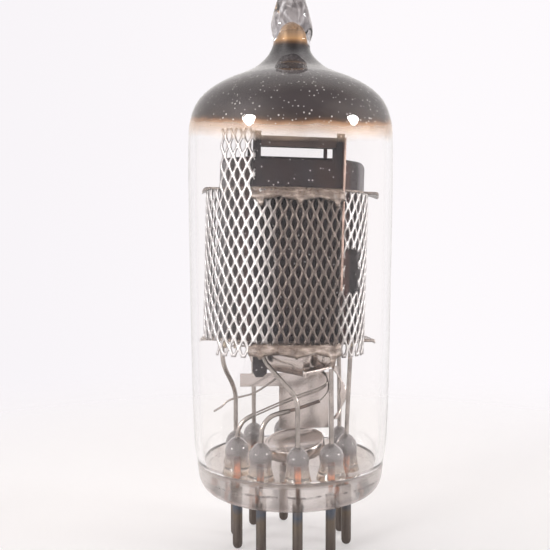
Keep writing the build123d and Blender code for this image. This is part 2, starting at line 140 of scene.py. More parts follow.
def upright_box(node):
    """Lowest and highest corner of a cage node with the cage's lean taken out, in millimetres."""
    points = [UPRIGHT @ (v.co / MM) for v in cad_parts[node].data.vertices]
    low = Vector([min(p[axis] for p in points) for axis in range(3)])
    high = Vector([max(p[axis] for p in points) for axis in range(3)])
    return low, high


PIN_XY = [middle(f"pin_{number}").xy for number in range(1, 10)]
FLOOR_Z = mm_box("pin_6")[0].z


# ---------------------------------------------------------------- mesh helpers
def placed(name, data):
    """A new object in the scene."""
    obj = bpy.data.objects.new(name, data)
    bpy.context.scene.collection.objects.link(obj)
    return obj


def piece_from(name, verts, faces, material, cage=False):
    """A smooth-shaded mesh piece from millimetre points; a cage piece gets the cage's lean."""
    mesh = bpy.data.meshes.new(name)
    place = CAGE if cage else Matrix.Identity(4)
    mesh.from_pydata([(place @ Vector(v)) * MM for v in verts], [], faces)
    mesh.update()
    mesh.materials.append(MATERIALS[material])
    mesh.polygons.foreach_set("use_smooth", [True] * len(mesh.polygons))
    return placed(name, mesh)


def finished(obj, slot, *nodes):
    """Rides the piece on the tube and hides the CAD nodes it stands for; slot, the finish's name, is not
    used.
    """
    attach(obj, ROOT)
    if nodes:
        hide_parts(*nodes)
    return obj


def clean(obj, merge=0.0):
    """Joins coincident points and turns all faces outwards."""
    bm = bmesh.new()
    bm.from_mesh(obj.data)
    if merge:
        bmesh.ops.remove_doubles(bm, verts=bm.verts, dist=merge * MM)
    bmesh.ops.recalc_face_normals(bm, faces=bm.faces)
    bm.to_mesh(obj.data)
    bm.free()
    return obj


def smooth_path(points, steps):
    """Catmull-Rom points through a list of points of any dimension."""
    out = []
    last = len(points) - 1
    for i in range(last):
        p0, p1 = points[max(i - 1, 0)], points[i]
        p2, p3 = points[i + 1], points[min(i + 2, last)]
        for step in range(steps):
            t = step / steps
            out.append(tuple(
                0.5 * (2 * b + (c - a) * t + (2 * a - 5 * b + 4 * c - d) * t * t
                       + (3 * b - a - 3 * c + d) * t ** 3)
                for a, b, c, d in zip(p0, p1, p2, p3)
            ))
    out.append(tuple(points[last]))
    return out


def lathe_mesh(profile, segments, centre=(0.0, 0.0), closed=False, shape=None):
    """Points and faces of a profile of (radius, height) turned round Z.

    shape may move each point: it gets the radius, angle and height and returns the point.
    """
    def plain(r, turn, z):
        return (centre[0] + r * math.cos(turn), centre[1] + r * math.sin(turn), z)

    point = shape or plain
    verts, faces, rows = [], [], []
    for r, z in profile:
        if r < 1e-6:
            ring = [point(0.0, 0.0, z)]
        else:
            ring = [point(r, 2 * math.pi * k / segments, z) for k in range(segments)]
        rows.append(range(len(verts), len(verts) + len(ring)))
        verts += ring
    pairs = list(zip(rows, rows[1:]))
    if closed:
        pairs.append((rows[-1], rows[0]))
    for a, b in pairs:
        for k in range(segments):
            n = (k + 1) % segments
            if len(a) == 1 and len(b) > 1:
                faces.append((a[0], b[n], b[k]))
            elif len(b) == 1 and len(a) > 1:
                faces.append((a[k], a[n], b[0]))
            elif len(a) > 1:
                faces.append((a[k], a[n], b[n], b[k]))
    return verts, faces


def joined(parts):
    """One list of points and one of faces from several."""
    verts, faces = [], []
    for part_verts, part_faces in parts:
        shift = len(verts)
        verts += part_verts
        faces += [tuple(i + shift for i in face) for face in part_faces]
    return verts, faces


def thicken(obj, thickness):
    """Gives a bare surface a thickness, half on each side."""
    sheet = obj.modifiers.new("sheet", "SOLIDIFY")
    sheet.thickness = thickness * MM
    sheet.offset = 0.0
    return obj


def sheet_strip(name, edges, thickness, material, cage=False):
    """A thin sheet between two edge lines, given as pairs of points."""
    verts = [point for pair in edges for point in pair]
    faces = [(n, n + 1, n + 3, n + 2) for n in range(0, len(verts) - 2, 2)]
    return thicken(piece_from(name, verts, faces, material, cage=cage), thickness)


def wire_piece(name, routes, radius, material, cage=False):
    """Round wires, each a NURBS line pulled smoothly along its points."""
    curve = bpy.data.curves.new(name, "CURVE")
    curve.dimensions = "3D"
    curve.bevel_depth = radius * MM
    curve.bevel_resolution = 5
    curve.resolution_u = 10
    curve.use_fill_caps = True
    place = CAGE if cage else Matrix.Identity(4)
    for route in routes:
        spline = curve.splines.new("NURBS")
        spline.points.add(len(route) - 1)
        for point, target in zip(spline.points, route):
            point.co = (*((place @ Vector(target)) * MM), 1.0)
        spline.order_u = 3
        spline.use_endpoint_u = True
    curve.materials.append(MATERIALS[material])
    return placed(name, curve)


# ---------------------------------------------------------------- material helpers
class Shader:
    """A Principled material and short ways to wire its nodes."""

    def __init__(self, name, **sockets):
        self.material = bpy.data.materials.new(name)
        self.material.use_nodes = True
        self.tree = self.material.node_tree
        self.main = self.tree.nodes["Principled BSDF"]
        self.output = self.tree.nodes["Material Output"]
        for key, value in sockets.items():
            self.main.inputs[key.replace("_", " ")].default_value = value

    def node(self, kind, **settings):
        made = self.tree.nodes.new(kind)
        for key, value in settings.items():
            setattr(made, key, value)
        return made

    def link(self, source, target):
        self.tree.links.new(source, target)

    def place(self):
        """Object position in millimetres."""
        coords = self.node("ShaderNodeTexCoord")
        scaled = self.node("ShaderNodeVectorMath", operation="SCALE")
        scaled.inputs["Scale"].default_value = 1.0 / MM
        self.link(coords.outputs["Object"], scaled.inputs[0])
        return scaled.outputs[0]

    def noise(self, scale, detail, stretch=(1, 1, 1), distortion=0.0):
        """Noise with scale cycles or so to the millimetre; stretch squeezes it along the axes."""
        squeeze = self.node("ShaderNodeVectorMath", operation="MULTIPLY")
        squeeze.inputs[1].default_value = stretch
        self.link(self.place(), squeeze.inputs[0])
        made = self.node("ShaderNodeTexNoise")
        made.inputs["Scale"].default_value = scale
        made.inputs["Detail"].default_value = detail
        made.inputs["Distortion"].default_value = distortion
        self.link(squeeze.outputs[0], made.inputs["Vector"])
        return made.outputs["Fac"]

    def math(self, operation, a, b, clamp=False):
        made = self.node("ShaderNodeMath", operation=operation, use_clamp=clamp)
        for socket, value in zip(made.inputs, (a, b)):
            if isinstance(value, (int, float)):
                socket.default_value = value
            else:
                self.link(value, socket)
        return made.outputs[0]

    def ramp(self, factor, stops):
        """A ramp from (position, colour) stops; a colour of one number is a grey."""
        made = self.node("ShaderNodeValToRGB")
        elements = made.color_ramp.elements
        while len(elements) < len(stops):
            elements.new(0.5)
        for element, (position, colour) in zip(elements, stops):
            element.position = position
            element.color = (*colour, 1.0) if len(colour) == 3 else (colour[0],) * 3 + (1.0,)
        self.link(factor, made.inputs[0])
        return made.outputs[0]

    def mix(self, factor, a, b):
        made = self.node("ShaderNodeMix", data_type="RGBA")
        for socket, value in ((made.inputs[0], factor), (made.inputs[6], a), (made.inputs[7], b)):
            if isinstance(value, (int, float)):
                socket.default_value = value
            elif isinstance(value, tuple):
                socket.default_value = (*value, 1.0)
            else:
                self.link(value, socket)
        return made.outputs[2]

    def bump(self, height, strength, distance):
        """Shades the surface as if it rose by up to distance millimetres."""
        made = self.node("ShaderNodeBump")
        made.inputs["Strength"].default_value = strength
        made.inputs["Distance"].default_value = distance * MM
        self.link(height, made.inputs["Height"])
        self.link(made.outputs[0], self.main.inputs["Normal"])

    def colour(self, source):
        self.link(source, self.main.inputs["Base Color"])

    def roughness(self, source):
        self.link(source, self.main.inputs["Roughness"])

    def axes(self):
        """Object position in millimetres, as its X, Y and Z."""
        split = self.node("ShaderNodeSeparateXYZ")
        self.link(self.place(), split.inputs[0])
        return split.outputs

    def height_z(self):
        """Height along the tube, in millimetres."""
        return self.axes()[2]

    def above(self, source, start, rate):
        """0 up to start, then growing by rate for each unit of the source, up to 1."""
        return self.math("MULTIPLY", self.math("SUBTRACT", source, start), rate, clamp=True)

    def wander(self, reach, scale, detail):
        """Noise on both sides of nought; reach is from its lowest to its highest."""
        return self.math("MULTIPLY", self.math("SUBTRACT", self.noise(scale, detail), 0.5), reach)

    def dots(self, scale):
        """Distance to the nearest of many scattered points."""
        points = self.node("ShaderNodeTexVoronoi")
        points.inputs["Scale"].default_value = scale
        self.link(self.place(), points.inputs["Vector"])
        return points.outputs["Distance"]

    def patchy_roughness(self, scale, detail, low, high):
        """Roughness that drifts between low and high."""
        self.roughness(self.ramp(self.noise(scale, detail), [(0.3, (low,)), (0.7, (high,))]))

    def lets_lamps_through(self, tint):
        """Glass that lamps light through: rays from lamps meet a clear, slightly tinted film."""
        path = self.node("ShaderNodeLightPath")
        clear = self.node("ShaderNodeBsdfTransparent")
        clear.inputs[0].default_value = (*tint, 1.0)
        blend = self.node("ShaderNodeMixShader")
        self.link(path.outputs["Is Shadow Ray"], blend.inputs[0])
        self.link(self.main.outputs[0], blend.inputs[1])
        self.link(clear.outputs[0], blend.inputs[2])
        self.link(blend.outputs[0], self.output.inputs["Surface"])


# ---------------------------------------------------------------- materials
def bulb_glass():
    """Clear blown glass with faint drawing waves, and painted shade and light in its drawn-off tip: grey
    streaks for the dark film seen through it.
    """
    s = Shader("bulb_glass", Roughness=0.0, IOR=1.47, Transmission_Weight=1.0)
    # painted shade and light: grey streaks in the solid tip stand in for the dark film seen through it
    rise = s.above(s.height_z(), TIP_PAINTED_SHADE_Z, 0.8)
    streak = s.ramp(s.noise(0.9, 2.0, (1.6, 1.6, 0.5), 1.2), [
        (0.36, (0.17, 0.155, 0.155)),
        (0.52, (0.42, 0.39, 0.38)),
        (0.68, (0.86, 0.84, 0.83)),
    ])
    s.colour(s.mix(rise, (1.0, 0.994, 0.985), streak))
    waves = s.noise(0.45, 2.0, (1, 1, 0.25))
    s.bump(waves, 0.12, 0.05)
    s.lets_lamps_through((0.97, 0.96, 0.95))
    return s.material


def stem_glass():
    """Pressed glass, softly clouded, darker low down, with a tan cast and a wavy skin."""
    s = Shader("stem_glass", Roughness=0.2, IOR=1.3)
    cloud = s.noise(0.5, 4.0, (1, 1, 1.6))
    glass = s.ramp(cloud, [(0.3, (0.46, 0.39, 0.35)), (0.7, (0.76, 0.69, 0.65))])
    dark_below_z = 1.9
    low = s.math("MULTIPLY", s.math("SUBTRACT", dark_below_z, s.height_z()), 0.6, clamp=True)
    glass = s.mix(low, glass, (0.36, 0.29, 0.265))
    # a thin frosty seam low on the rim
    seam_z, seam_half_width = 2.05, 0.1
    off = s.math("SUBTRACT", s.math("ADD", s.height_z(), s.wander(0.5, 0.5, 2.0)), seam_z)
    seam = s.math("LESS_THAN", s.math("ABSOLUTE", off, 0.0), seam_half_width)
    seam = s.math("MULTIPLY", seam, s.ramp(s.noise(3.0, 4.0), [(0.42, (0.0,)), (0.6, (0.8,))]))
    s.colour(s.mix(seam, glass, (0.12, 0.105, 0.11)))
    cover, passing = 0.68, 0.82
    s.link(s.math("ADD", cover, s.math("MULTIPLY", seam, 0.3)), s.main.inputs["Alpha"])
    passing = s.math("SUBTRACT", passing, s.math("MULTIPLY", seam, 0.7))
    s.link(passing, s.main.inputs["Transmission Weight"])
    s.bump(s.noise(0.8, 3.0), 0.25, 0.08)
    s.lets_lamps_through((0.9, 0.88, 0.86))
    return s.material


def bead_glass():
    """The glass of the beads: tan and clear at the foot, slate and cloudier at the head."""
    s = Shader("bead_glass", Roughness=0.06, IOR=1.5)
    s.main.inputs["Coat Weight"].default_value = 1.0
    s.main.inputs["Coat Roughness"].default_value = 0.04
    slate_from_z = 3.2
    fade = s.above(s.height_z(), slate_from_z, 0.7)
    fade = s.math("ADD", fade, s.wander(0.3, 1.6, 3.0), clamp=True)
    s.colour(s.ramp(fade, [
        (0.0, (0.80, 0.70, 0.60)),
        (0.45, (0.44, 0.39, 0.37)),
        (0.85, (0.26, 0.235, 0.235)),
    ]))
    s.link(s.ramp(fade, [(0.3, (0.95,)), (0.9, (0.6,))]), s.main.inputs["Transmission Weight"])
    s.lets_lamps_through((0.85, 0.84, 0.84))
    return s.material


def getter_mirror():
    """The flashed film: dark above, burnt orange and then clear at its lower edge, amber in the neck."""
    s = Shader("getter_mirror", Metallic=0.3, Roughness=0.5)
    _, y, z = s.axes()
    height = s.math("SUBTRACT", z, s.math("MULTIPLY", y, FILM_TILT))
    height = s.math("ADD", height, s.wander(0.9, 0.5, 3.0))
    rise = s.math("DIVIDE", s.math("SUBTRACT", height, FILM_EDGE_Z), FILM_FADE, clamp=True)
    film = s.ramp(rise, [
        (0.0, (0.84, 0.66, 0.52)),
        (0.40, (0.76, 0.52, 0.35)),
        (0.53, (0.46, 0.25, 0.13)),
        (0.61, (0.12, 0.066, 0.042)),
        (0.70, (0.050, 0.035, 0.032)),
        (1.0, (0.050, 0.039, 0.040)),
    ])
    cloud = s.noise(0.35, 4.0, (1, 1, 2.0))
    film = s.mix(s.ramp(cloud, [(0.45, (0.0,)), (0.75, (0.35,))]), film, (0.12, 0.098, 0.086))
    black = (0.018, 0.014, 0.016)
    neck = s.above(z, NECK_CLEAR_Z, 0.5)
    amber = s.ramp(neck, [
        (0.0, black),
        (0.2, (0.020, 0.012, 0.009)),
        (0.34, (0.12, 0.055, 0.022)),
        (0.55, (0.60, 0.34, 0.15)),
        (0.9, (0.62, 0.42, 0.26)),
    ])
    high = s.above(z, NECK_DARK_Z, 0.45)
    film = s.mix(high, film, black)
    film = s.mix(s.math("GREATER_THAN", neck, 0.0), film, amber)
    # pale dust, its specks of uneven size and fewer towards the neck
    speck_scale, largest_speck = 2.6, 0.2
    near = s.dots(speck_scale)
    size = s.math("MULTIPLY", s.math("SUBTRACT", s.noise(speck_scale, 2.0), 0.33), 0.95)
    dust = s.math("LESS_THAN", near, size)
    dust = s.math("MULTIPLY", dust, s.math("LESS_THAN", near, largest_speck))
    strength = s.ramp(rise, [(0.66, (0.95,)), (1.0, (0.6,))])
    strength = s.math("MULTIPLY", strength, s.math("SUBTRACT", 1.0, high))
    s.colour(s.mix(s.math("MULTIPLY", dust, strength), film, (0.80, 0.76, 0.72)))
    solid = s.ramp(rise, [(0.0, (0.0,)), (0.2, (0.18,)), (0.46, (0.42,)), (0.57, (0.75,)), (0.66, (1.0,))])
    clear_neck = s.ramp(neck, [(0.3, (1.0,)), (0.6, (0.7,)), (1.0, (0.4,))])
    s.link(s.math("MULTIPLY", solid, clear_neck), s.main.inputs["Alpha"])
    s.roughness(s.ramp(cloud, [(0.3, (0.42,)), (0.75, (0.6,))]))
    return s.material


def mesh_metal():
    """Bright expanded nickel with soft stains, and a brown band across the middle of its front that is
    partly its own brown and partly painted shade for the dark room reflected there.
    """
    s = Shader("screen_mesh", Metallic=1.0, Roughness=0.35)
    stain = s.noise(0.35, 4.0)
    clean_metal = s.ramp(stain, [(0.3, (0.48, 0.45, 0.44)), (0.6, (0.63, 0.605, 0.60))])
    x, y, _ = s.axes()
    half_width = 8.0
    across = s.math("ADD", x, s.math("MULTIPLY", s.math("SUBTRACT", stain, 0.5), 1.5))
    # partly painted shade: this brown band over the front's middle is partly the screen's own brown and
    # partly the dark room reflected by the strands, painted in
    browned = s.ramp(s.math("MULTIPLY", s.math("ADD", across, half_width), 0.5 / half_width), [
        (0.24, (0.0,)),
        (0.38, (1.0,)),
        (0.75, (1.0,)),
        (0.86, (0.0,)),
    ])
    front = s.math("LESS_THAN", y, 0.0)
    s.colour(s.mix(s.math("MULTIPLY", browned, front), clean_metal, (0.13, 0.105, 0.094)))
    s.patchy_roughness(6.0, 3.0, 0.36, 0.5)
    s.bump(s.noise(5.0, 2.0), 0.15, 0.01)
    return s.material


def dark_metal(name, base, sheen, warm):
    """Carbonised or heat-darkened sheet: its colour, metal share and the colour of its warmer patches.

    It has flecks of pale dust, and painted shade and light across its curved sides: a brown band on both
    sides of the front plate, and lighter outer parts.
    """
    s = Shader(name, Metallic=sheen, Roughness=0.5)
    s.main.inputs["Specular IOR Level"].default_value = 0.3
    patch = s.noise(0.28, 5.0, (1, 1, 0.6))
    tone = s.mix(s.ramp(patch, [(0.35, (0.0,)), (0.7, (1.0,))]), base, warm)
    fleck_scale, fleck_size = 2.0, 0.16
    dust = s.math("LESS_THAN", s.dots(fleck_scale), fleck_size)
    dust = s.math("MULTIPLY", dust, s.math("GREATER_THAN", s.noise(0.6, 1.0), 0.47))
    # painted shade and light across the curved sides: a brown band just past the front plate, then lighter
    # outer parts
    plate_edge_x = 4.4
    outward = s.above(s.math("ABSOLUTE", s.axes()[0], 0.0), plate_edge_x, 0.3)
    brown = s.ramp(outward, [(0.0, (0.0,)), (0.05, (0.8,)), (0.3, (0.8,)), (0.4, (0.0,))])
    painted_light_ends = s.ramp(outward, [(0.62, (0.0,)), (0.78, (1.0,))])
    tone = s.mix(brown, tone, (0.05, 0.018, 0.014))
    tone = s.mix(painted_light_ends, tone, (0.15, 0.14, 0.145))
    s.colour(s.mix(s.math("MULTIPLY", dust, 0.8), tone, (0.5, 0.46, 0.45)))
    s.patchy_roughness(2.5, 4.0, 0.38, 0.6)
    s.bump(s.noise(5.0, 4.0), 0.15, 0.02)
    return s.material


def sheet_metal(name, base, rough, tint):
    """Bright nickel sheet with soft waves and a faint heat tint."""
    s = Shader(name, Metallic=1.0, Roughness=rough)
    s.colour(s.ramp(s.noise(0.3, 3.0), [(0.3, tint), (0.65, base)]))
    s.patchy_roughness(0.9, 3.0, rough * 0.8, rough * 1.2)
    s.bump(s.noise(0.3, 1.0), 0.15, 0.25)
    return s.material


def wire_metal(name, base, rough):
    """Drawn wire with soft darker stains."""
    s = Shader(name, Metallic=1.0, Roughness=rough)
    darker = tuple(0.65 * c for c in base)
    s.colour(s.ramp(s.noise(0.8, 3.0), [(0.35, darker), (0.65, base)]))
    s.patchy_roughness(1.5, 2.0, rough * 0.8, rough * 1.3)
    return s.material


def pin_metal():
    """Dull oxidised pins, straw and blue where the glass was sealed hot round them."""
    s = Shader("pin_metal", Metallic=0.85, Roughness=0.42)
    rise = s.above(s.height_z(), -PIN_LENGTH, 0.185)
    tone = s.ramp(s.math("ADD", rise, s.wander(0.35, 0.8, 3.0), clamp=True), [
        (0.0, (0.085, 0.066, 0.058)),
        (0.45, (0.12, 0.097, 0.083)),
        (0.68, (0.15, 0.115, 0.085)),
        (0.84, (0.07, 0.095, 0.135)),
        (1.0, (0.13, 0.11, 0.10)),
    ])
    streak = s.noise(5.0, 4.0, (1, 1, 0.12))
    s.colour(s.mix(s.math("MULTIPLY", streak, 0.35), tone, (0.30, 0.27, 0.25)))
    s.patchy_roughness(6.0, 3.0, 0.32, 0.55)
    s.bump(streak, 0.2, 0.015)
    return s.material


def copper():
    """Borated copper cladding under glass, browned over most of its length."""
    s = Shader("copper_clad", Metallic=0.4, Roughness=0.45)
    patch = s.ramp(s.noise(0.9, 3.0), [(0.42, (0.0,)), (0.6, (1.0,))])
    s.colour(s.mix(patch, (0.16, 0.10, 0.08), (0.62, 0.22, 0.10)))
    return s.material


def mica_sheet():
    """Brownish translucent mica with flaky edges."""
    s = Shader("mica", Roughness=0.28, IOR=1.58, Alpha=0.9)
    flakes = s.noise(0.9, 6.0, (1, 1, 3.0))
    s.colour(s.ramp(flakes, [
        (0.32, (0.10, 0.07, 0.055)),
        (0.52, (0.22, 0.165, 0.135)),
        (0.72, (0.5, 0.42, 0.37)),
    ]))
    s.patchy_roughness(4.0, 4.0, 0.15, 0.5)
    s.bump(flakes, 0.3, 0.03)
    return s.material


def white_oxide():
    """Chalky coating on the cathode and the heater."""
    s = Shader("white_oxide", Roughness=0.85)
    s.colour(s.ramp(s.noise(3.0, 4.0), [(0.3, (0.70, 0.69, 0.66)), (0.7, (0.86, 0.85, 0.83))]))
    s.bump(s.noise(12.0, 3.0), 0.3, 0.01)
    return s.material


def floor_material():
    """A plain pale floor, glowing a little, that fades into the surround far from the tube."""
    s = Shader("pale_floor", Roughness=0.7)
    s.main.inputs["Base Color"].default_value = (0.58, 0.565, 0.565, 1)
    s.main.inputs["Emission Color"].default_value = (1.0, 0.97, 0.97, 1)
    s.main.inputs["Emission Strength"].default_value = 0.375
    s.main.inputs["Specular IOR Level"].default_value = 0.2
    coords = s.node("ShaderNodeTexCoord")
    length = s.node("ShaderNodeVectorMath", operation="LENGTH")
    s.link(coords.outputs["Object"], length.inputs[0])
    far = s.node("ShaderNodeMapRange", interpolation_type="SMOOTHSTEP")
    far.inputs["From Min"].default_value = FLOOR_FADE[0]
    far.inputs["From Max"].default_value = FLOOR_FADE[1]
    s.link(length.outputs["Value"], far.inputs["Value"])
    clear = s.node("ShaderNodeBsdfTransparent")
    blend = s.node("ShaderNodeMixShader")
    s.link(far.outputs[0], blend.inputs[0])
    s.link(s.main.outputs[0], blend.inputs[1])
    s.link(clear.outputs[0], blend.inputs[2])
    s.link(blend.outputs[0], s.output.inputs["Surface"])
    return s.material


MATERIALS = {
    "bulb_glass": bulb_glass(),
    "stem_glass": stem_glass(),
    "bead_glass": bead_glass(),
    "getter_mirror": getter_mirror(),
    "screen_mesh": mesh_metal(),
    "dark_nickel": dark_metal("dark_nickel", (0.020, 0.016, 0.020), 0.2, (0.030, 0.016, 0.014)),
    "getter_steel": dark_metal("getter_steel", (0.10, 0.075, 0.068), 0.6, (0.17, 0.115, 0.095)),
    "getter_metal": dark_metal("getter_metal", (0.10, 0.09, 0.09), 0.3, (0.18, 0.15, 0.14)),
    "bright_nickel": sheet_metal("bright_nickel", (0.66, 0.60, 0.57), 0.2, (0.54, 0.47, 0.43)),
    "nickel_wire": wire_metal("nickel_wire", (0.47, 0.42, 0.385), 0.2),
    "grid_wire": wire_metal("grid_wire", (0.55, 0.47, 0.36), 0.3),
    "tan_rod": wire_metal("tan_rod", (0.50, 0.36, 0.31), 0.5),
    "pin_metal": pin_metal(),
    "copper_clad": copper(),
    "mica": mica_sheet(),
    "white_oxide": white_oxide(),
}


# ---------------------------------------------------------------- glass pieces
def tip_shape(r, turn, z):
    """The drawn-off tip: off centre, a little flattened and twisted into soft facets."""
    rise = max(0.0, min(1.0, (z - TIP_START_Z) / 2.0))
    three_sided = 0.06 * math.cos(3 * turn + 0.9 * (z - 46.0))
    two_sided = 0.05 * math.cos(2 * turn - 1.3 * (z - 47.0))
    r = r * (1.0 + rise * (three_sided + two_sided))
    return (r * math.cos(turn) + TIP_OFFSET_X * rise, r * math.sin(turn), z)


def make_bulb():
    """The bulb as a real glass wall, solid in the tip."""
    outer = smooth_path(BULB_OUTER, 6)[:-1] + smooth_path(TIP_PROFILE, 6)
    inner = smooth_path(BULB_INNER, 6)[::-1]
    verts, faces = lathe_mesh(outer + inner, BULB_SEGMENTS, closed=True, shape=tip_shape)
    bulb = clean(piece_from("bulb", verts, faces, "bulb_glass"), MERGE)
    return finished(bulb, "bulb_glass", "glass_bulb")


def make_film():
    """The getter mirror, bonded into the skin of the bulb's inner face."""
    line = [p for p in smooth_path(BULB_INNER, 8) if p[1] > FILM_EDGE_Z - FILM_SKIRT]
    outer, inner = [[(r + out if r else 0.0, z + up) for r, z in line] for out, up in FILM_SKINS]
    verts, faces = lathe_mesh(outer + inner[::-1], BULB_SEGMENTS, closed=True, shape=tip_shape)
    film = clean(piece_from("getter_mirror", verts, faces, "getter_mirror"), MERGE)
    return finished(film, "getter_mirror", "getter_film")


def make_stem():
    """The pressed glass button."""
    profile = smooth_path(BUTTON_LOW[1:], 5)
    verts, faces = lathe_mesh([BUTTON_LOW[0]] + profile + BUTTON_TOP, BULB_SEGMENTS)
    stem = clean(piece_from("button", verts, faces, "stem_glass"), MERGE)
    return finished(stem, "stem_glass", "button_stem")


def make_beads():
    """The nine glass beads, each a little different in width and height."""
    parts = []
    for index, (x, y) in enumerate(PIN_XY):
        grow = 1.0 + 0.05 * math.sin(2.4 * index)
        lift = 1.0 + 0.04 * math.cos(1.7 * index)
        profile = [(r * grow, BEAD_FOOT_Z + (z - BUTTON_TOP_Z) * lift) for r, z in smooth_path(BEAD, 4)]
        profile = [(0.0, profile[0][1])] + profile + [(0.0, profile[-1][1])]
        parts.append(lathe_mesh(profile, PIN_SEGMENTS, centre=(x, y)))
    beads = clean(piece_from("glass_beads", *joined(parts), "bead_glass"))
    return finished(beads, "stem_glass")


# ---------------------------------------------------------------- contacts and leads
def make_pins():
    """The stiff pins, each its own piece, rounded at the tip."""
    profile = [(0.0, FLOOR_Z)] + [(r, FLOOR_Z + rise) for r, rise in PIN_TIP]
    profile += [(PIN_R, -0.3), (PIN_R, PIN_TOP_Z), (0.0, PIN_TOP_Z)]
    for index, (x, y) in enumerate(PIN_XY):
        verts, faces = lathe_mesh(profile, PIN_SEGMENTS, centre=(x, y))
        name = f"pin_{index + 1}"
        pin = clean(piece_from(f"contact_{name}", verts, faces, "pin_metal"))
        finished(pin, "pin_metal", name)


def make_seals():
    """The copper-clad wires inside the glass."""
    low, high = SEAL_Z
    profile = [(0.0, low), (SEAL_R, low), (SEAL_R, high), (0.0, high)]
    parts = [lathe_mesh(profile, SEAL_SEGMENTS, centre=tuple(xy)) for xy in PIN_XY]
    seals = clean(piece_from("seal_wires_copper", *joined(parts), "copper_clad"))
    return finished(seals, "copper_clad", "seal_wires")


LEADS = {
    1: [(0.0, 5.945, 4.3), (0.0, 5.945, 7.0), (0.0, 5.945, 9.4), (0.5, 5.1, 11.2), (0.9, 4.3, 12.6),
        (0.9, 4.3, 15.3)],
    2: [(-3.494, 4.81, 4.3), (-3.494, 4.81, 9.0), (-3.5, 4.81, 13.0), (-3.75, 4.81, 15.3)],
    3: [(-5.654, 1.837, 4.3), (-5.654, 1.837, 8.0), (-5.654, 1.837, 10.0), (-6.1, 1.1, 11.3),
        (-6.8, -0.05, 12.8), (-7.1, -0.5, 14.0), (-7.1, -0.6, 15.3)],
    4: [(-5.654, -1.837, 4.3), (-5.654, -1.837, 6.2), (-5.45, -1.86, 7.2), (-4.8, -1.92, 8.05),
        (-3.9, -2.0, 8.45)],
    5: [(-3.494, -4.81, 4.3), (-3.494, -4.81, 6.7), (-3.35, -4.78, 7.7), (-2.85, -4.7, 8.55),
        (-2.0, -4.6, 9.05), (-0.56, -4.4, 9.25)],
    6: [(0.0, -5.945, 4.3), (0.0, -5.945, 8.0), (0.0, -5.945, 10.2), (-0.35, -5.8, 11.1),
        (-1.2, -5.45, 12.1), (-2.7, -4.8, 13.8), (-3.1, -4.63, 14.3), (-3.3, -4.55, 15.0)],
    7: [(3.494, -4.81, 4.3), (3.494, -4.81, 8.0), (3.47, -4.81, 11.0), (3.45, -4.81, 13.4)],
    8: [(5.654, -1.837, 4.3), (5.654, -1.837, 6.6), (5.75, -1.84, 8.6), (5.9, -1.85, 12.0),
        (6.05, -1.86, 15.3)],
    9: [(5.654, 1.837, 4.3), (5.654, 1.837, 8.0), (5.6, 1.83, 11.5), (5.5, 1.83, 15.6)],
}


def make_leads():
    """The nickel leads from the seals up into the cage."""
    for number, route in LEADS.items():
        lead = wire_piece(f"lead_wire_{number}", [route], LEAD_R, "nickel_wire")
        finished(lead, "nickel_wire", f"lead_{number}")


def make_heater():
    """The heater's coated hairpin in the cathode and its bare tails down to leads 4 and 5."""
    hairpin = [(0.22, 0, 14.4), (0.22, 0, 20.0), (0.22, 0, 32.0), (0.0, 0, 32.4), (-0.22, 0, 32.0),
               (-0.22, 0, 20.0), (-0.22, 0, 14.4)]
    wire = wire_piece("heater_hairpin", [hairpin], HEATER_R, "white_oxide", cage=True)
    finished(wire, "heater_coating", "heater")
    tails = []
    for gap in (-TAIL_GAP, TAIL_GAP):
        tails.append([(-4.3, -1.95, 8.25 + gap), (-3.0, -2.08, 8.85 + gap), (0.0, -2.2, 10.1 + gap),
                      (3.3, -2.1, 11.1 + gap), (3.7, -1.7, 11.7), (3.5, -1.3, 12.8), (gap, 0.0, 14.5)])
    tails.append([(2.4, -3.92, 10.1), (3.4, -3.4, 10.6), (3.75, -2.0, 11.6), (3.4, -1.4, 12.6),
                  (0.22, 0.0, 14.4)])
    wire = wire_piece("heater_tails", tails, TAIL_R, "nickel_wire")
    finished(wire, "nickel_wire")
    sleeved = [(-0.9, -4.43, 9.2), (0.4, -4.25, 9.45), (2.45, -3.92, 10.1)]
    wire = wire_piece("heater_tail_sleeve", [sleeved], SLEEVED_TAIL_R, "getter_steel")
    finished(wire, "getter_steel")


def make_whisker():
    """The thin loose wire by the stem shield."""
    route = [(-8.0, -0.2, 8.5), (-7.2, -0.25, 8.9), (-6.5, -0.3, 9.7), (-5.0, -0.45, 10.05),
             (-4.0, -0.6, 10.3), (-2.8, -0.7, 11.0), (-1.6, -0.8, 11.9)]
    whisker = wire_piece("shield_whisker_wire", [route], WHISKER_R, "nickel_wire")
    finished(whisker, "nickel_wire", "shield_whisker")


# ---------------------------------------------------------------- cage pieces
def ellipse_table(a, b, count=2880):
    """Angle by length along an ellipse, from its front centre towards +X, and its whole length."""
    turns, lengths = [-math.pi / 2], [0.0]
    for k in range(1, count + 1):
        turn = -math.pi / 2 + 2 * math.pi * k / count
        last = turns[-1]
        step = math.hypot(a * (math.cos(turn) - math.cos(last)), b * (math.sin(turn) - math.sin(last)))
        turns.append(turn)
        lengths.append(lengths[-1] + step)
    return turns, lengths


